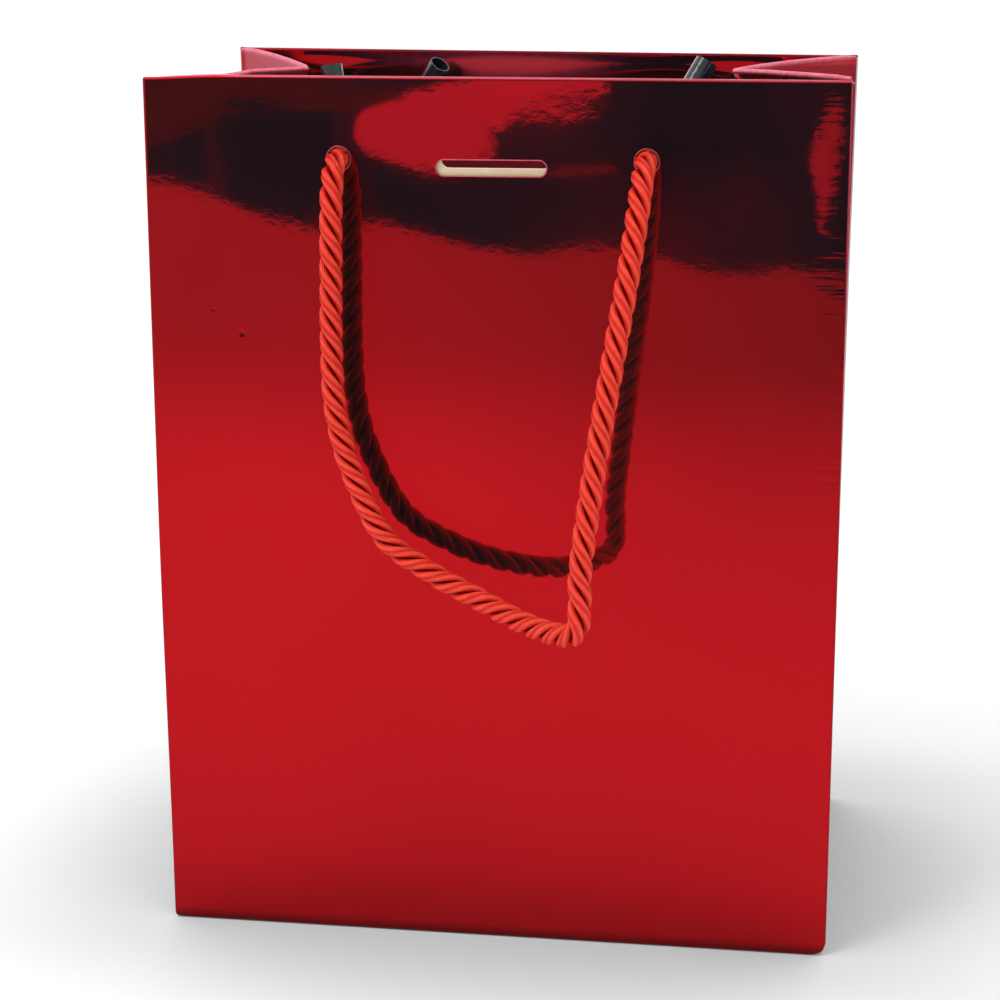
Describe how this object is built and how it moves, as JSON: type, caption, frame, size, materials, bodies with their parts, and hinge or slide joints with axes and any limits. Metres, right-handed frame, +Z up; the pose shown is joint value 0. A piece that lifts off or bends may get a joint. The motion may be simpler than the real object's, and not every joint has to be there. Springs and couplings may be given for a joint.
{
  "type": "gift bag",
  "caption": "Standing paper gift bag in mirror-finish red foil, with folded side gussets, a stiffened turned-in rim, a punched slot and twisted rope handles.",
  "frame": {"origin": "on the floor under the middle of the bag", "axes": "+Z up, the front panel faces -Y, +X to the right of someone looking at the front"},
  "size_m": [0.18, 0.1928, 0.2352],
  "materials": {
    "foil_paper": "metallic mirror foil, laminated",
    "rim_card": "cream card, cut edges",
    "base_board": "grey board, matt",
    "rope": "twisted satin cord",
    "rope_tip": "clear shrunk sleeve, glossy"
  },
  "bodies": {
    "base": {"bottom_front_flap": "foil_paper", "bottom_rear_flap": "foil_paper", "left_tuck": "foil_paper", "right_tuck": "foil_paper", "base_board": "base_board", "left_lower_gusset": "foil_paper", "right_lower_gusset": "foil_paper", "left_gusset_front": "foil_paper", "left_gusset_rear": "foil_paper", "right_gusset_front": "foil_paper", "right_gusset_rear": "foil_paper", "left_gusset_front_hem": "foil_paper", "left_gusset_rear_hem": "foil_paper", "right_gusset_front_hem": "foil_paper", "right_gusset_rear_hem": "foil_paper"},
    "front_wall": {"front_panel": "foil_paper", "front_hem": "foil_paper", "front_card": "rim_card", "front_left_knot": "rope", "front_left_tip": "rope_tip", "front_right_knot": "rope", "front_right_tip": "rope_tip"},
    "back_wall": {"back_panel": "foil_paper", "back_hem": "foil_paper", "back_card": "rim_card", "side_seam_tab": "foil_paper", "back_left_knot": "rope", "back_left_tip": "rope_tip", "back_right_knot": "rope", "back_right_tip": "rope_tip"},
    "front_handle": {"front_handle": "rope"},
    "back_handle": {"back_handle": "rope"}
  },
  "joints": [
    {"name": "front_wall_lean", "type": "hinge", "parent": "base", "child": "front_wall", "pos_m": [0, -0.055, 0.0007], "axis": [-1, 0, 0], "range_deg": [-2.49, 7.5], "deforming": ["left_gusset_front", "right_gusset_front", "left_gusset_front_hem", "right_gusset_front_hem", "left_lower_gusset", "right_lower_gusset"]},
    {"name": "back_wall_lean", "type": "hinge", "parent": "base", "child": "back_wall", "pos_m": [0, 0.055, 0.0007], "axis": [1, 0, 0], "range_deg": [-2.49, 7.5], "deforming": ["left_gusset_rear", "right_gusset_rear", "left_gusset_rear_hem", "right_gusset_rear_hem"]},
    {"name": "front_handle_swing", "type": "hinge", "parent": "front_wall", "child": "front_handle", "pos_m": [0, -0.05487, 0.21069], "axis": [-1, 0, 0], "range_deg": [-5, 160]},
    {"name": "back_handle_swing", "type": "hinge", "parent": "back_wall", "child": "back_handle", "pos_m": [0, 0.05487, 0.21069], "axis": [1, 0, 0], "range_deg": [-5, 160]}
  ],
  "couplings": [
    {"joint": "back_wall_lean", "follows": "front_wall_lean", "ratio": 1}
  ]
}
